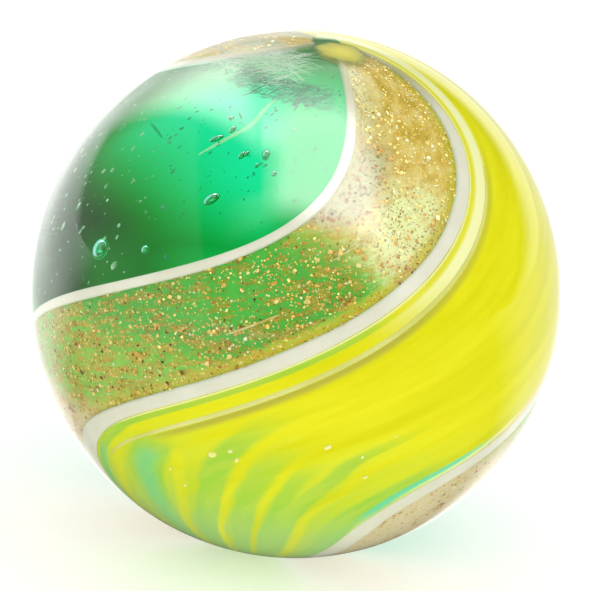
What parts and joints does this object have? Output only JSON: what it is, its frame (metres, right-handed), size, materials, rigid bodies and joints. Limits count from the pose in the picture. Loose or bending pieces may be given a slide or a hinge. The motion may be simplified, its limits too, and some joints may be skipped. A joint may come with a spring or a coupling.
{
  "type": "handmade swirled glass marble",
  "caption": "Solid ball of clear green glass with white threads, a yellow panel and copper-flecked bands melted flush into its skin in a twisting swirl.",
  "frame": {"origin": "centre of the ball", "axes": "+Z along the axis that the swirl runs round, towards the end where the threads converge on the yellow cut-off spot; -Y faces the viewer, at the middle of the shown side"},
  "size_m": [0.022, 0.022, 0.022],
  "materials": {
    "green_glass": "fire-polished, clear, with small round bubbles",
    "white_glass": "fire-polished, opaque off-white",
    "goldstone_glass": "fire-polished, clear glass full of small copper flecks",
    "yellow_glass": "fire-polished, opaque lemon yellow",
    "pale_glass": "fire-polished, opaque pale yellow"
  },
  "bodies": {
    "root": {"green_glass_ball": "green_glass", "white_thread_1": "white_glass", "white_thread_2": "white_glass", "white_thread_3": "white_glass", "white_thread_4": "white_glass", "goldstone_band_1": "goldstone_glass", "goldstone_band_2": "goldstone_glass", "goldstone_sliver": "goldstone_glass", "yellow_glass_panel": "yellow_glass", "pale_thread": "pale_glass", "yellow_cutoff": "yellow_glass"}
  },
  "joints": []
}
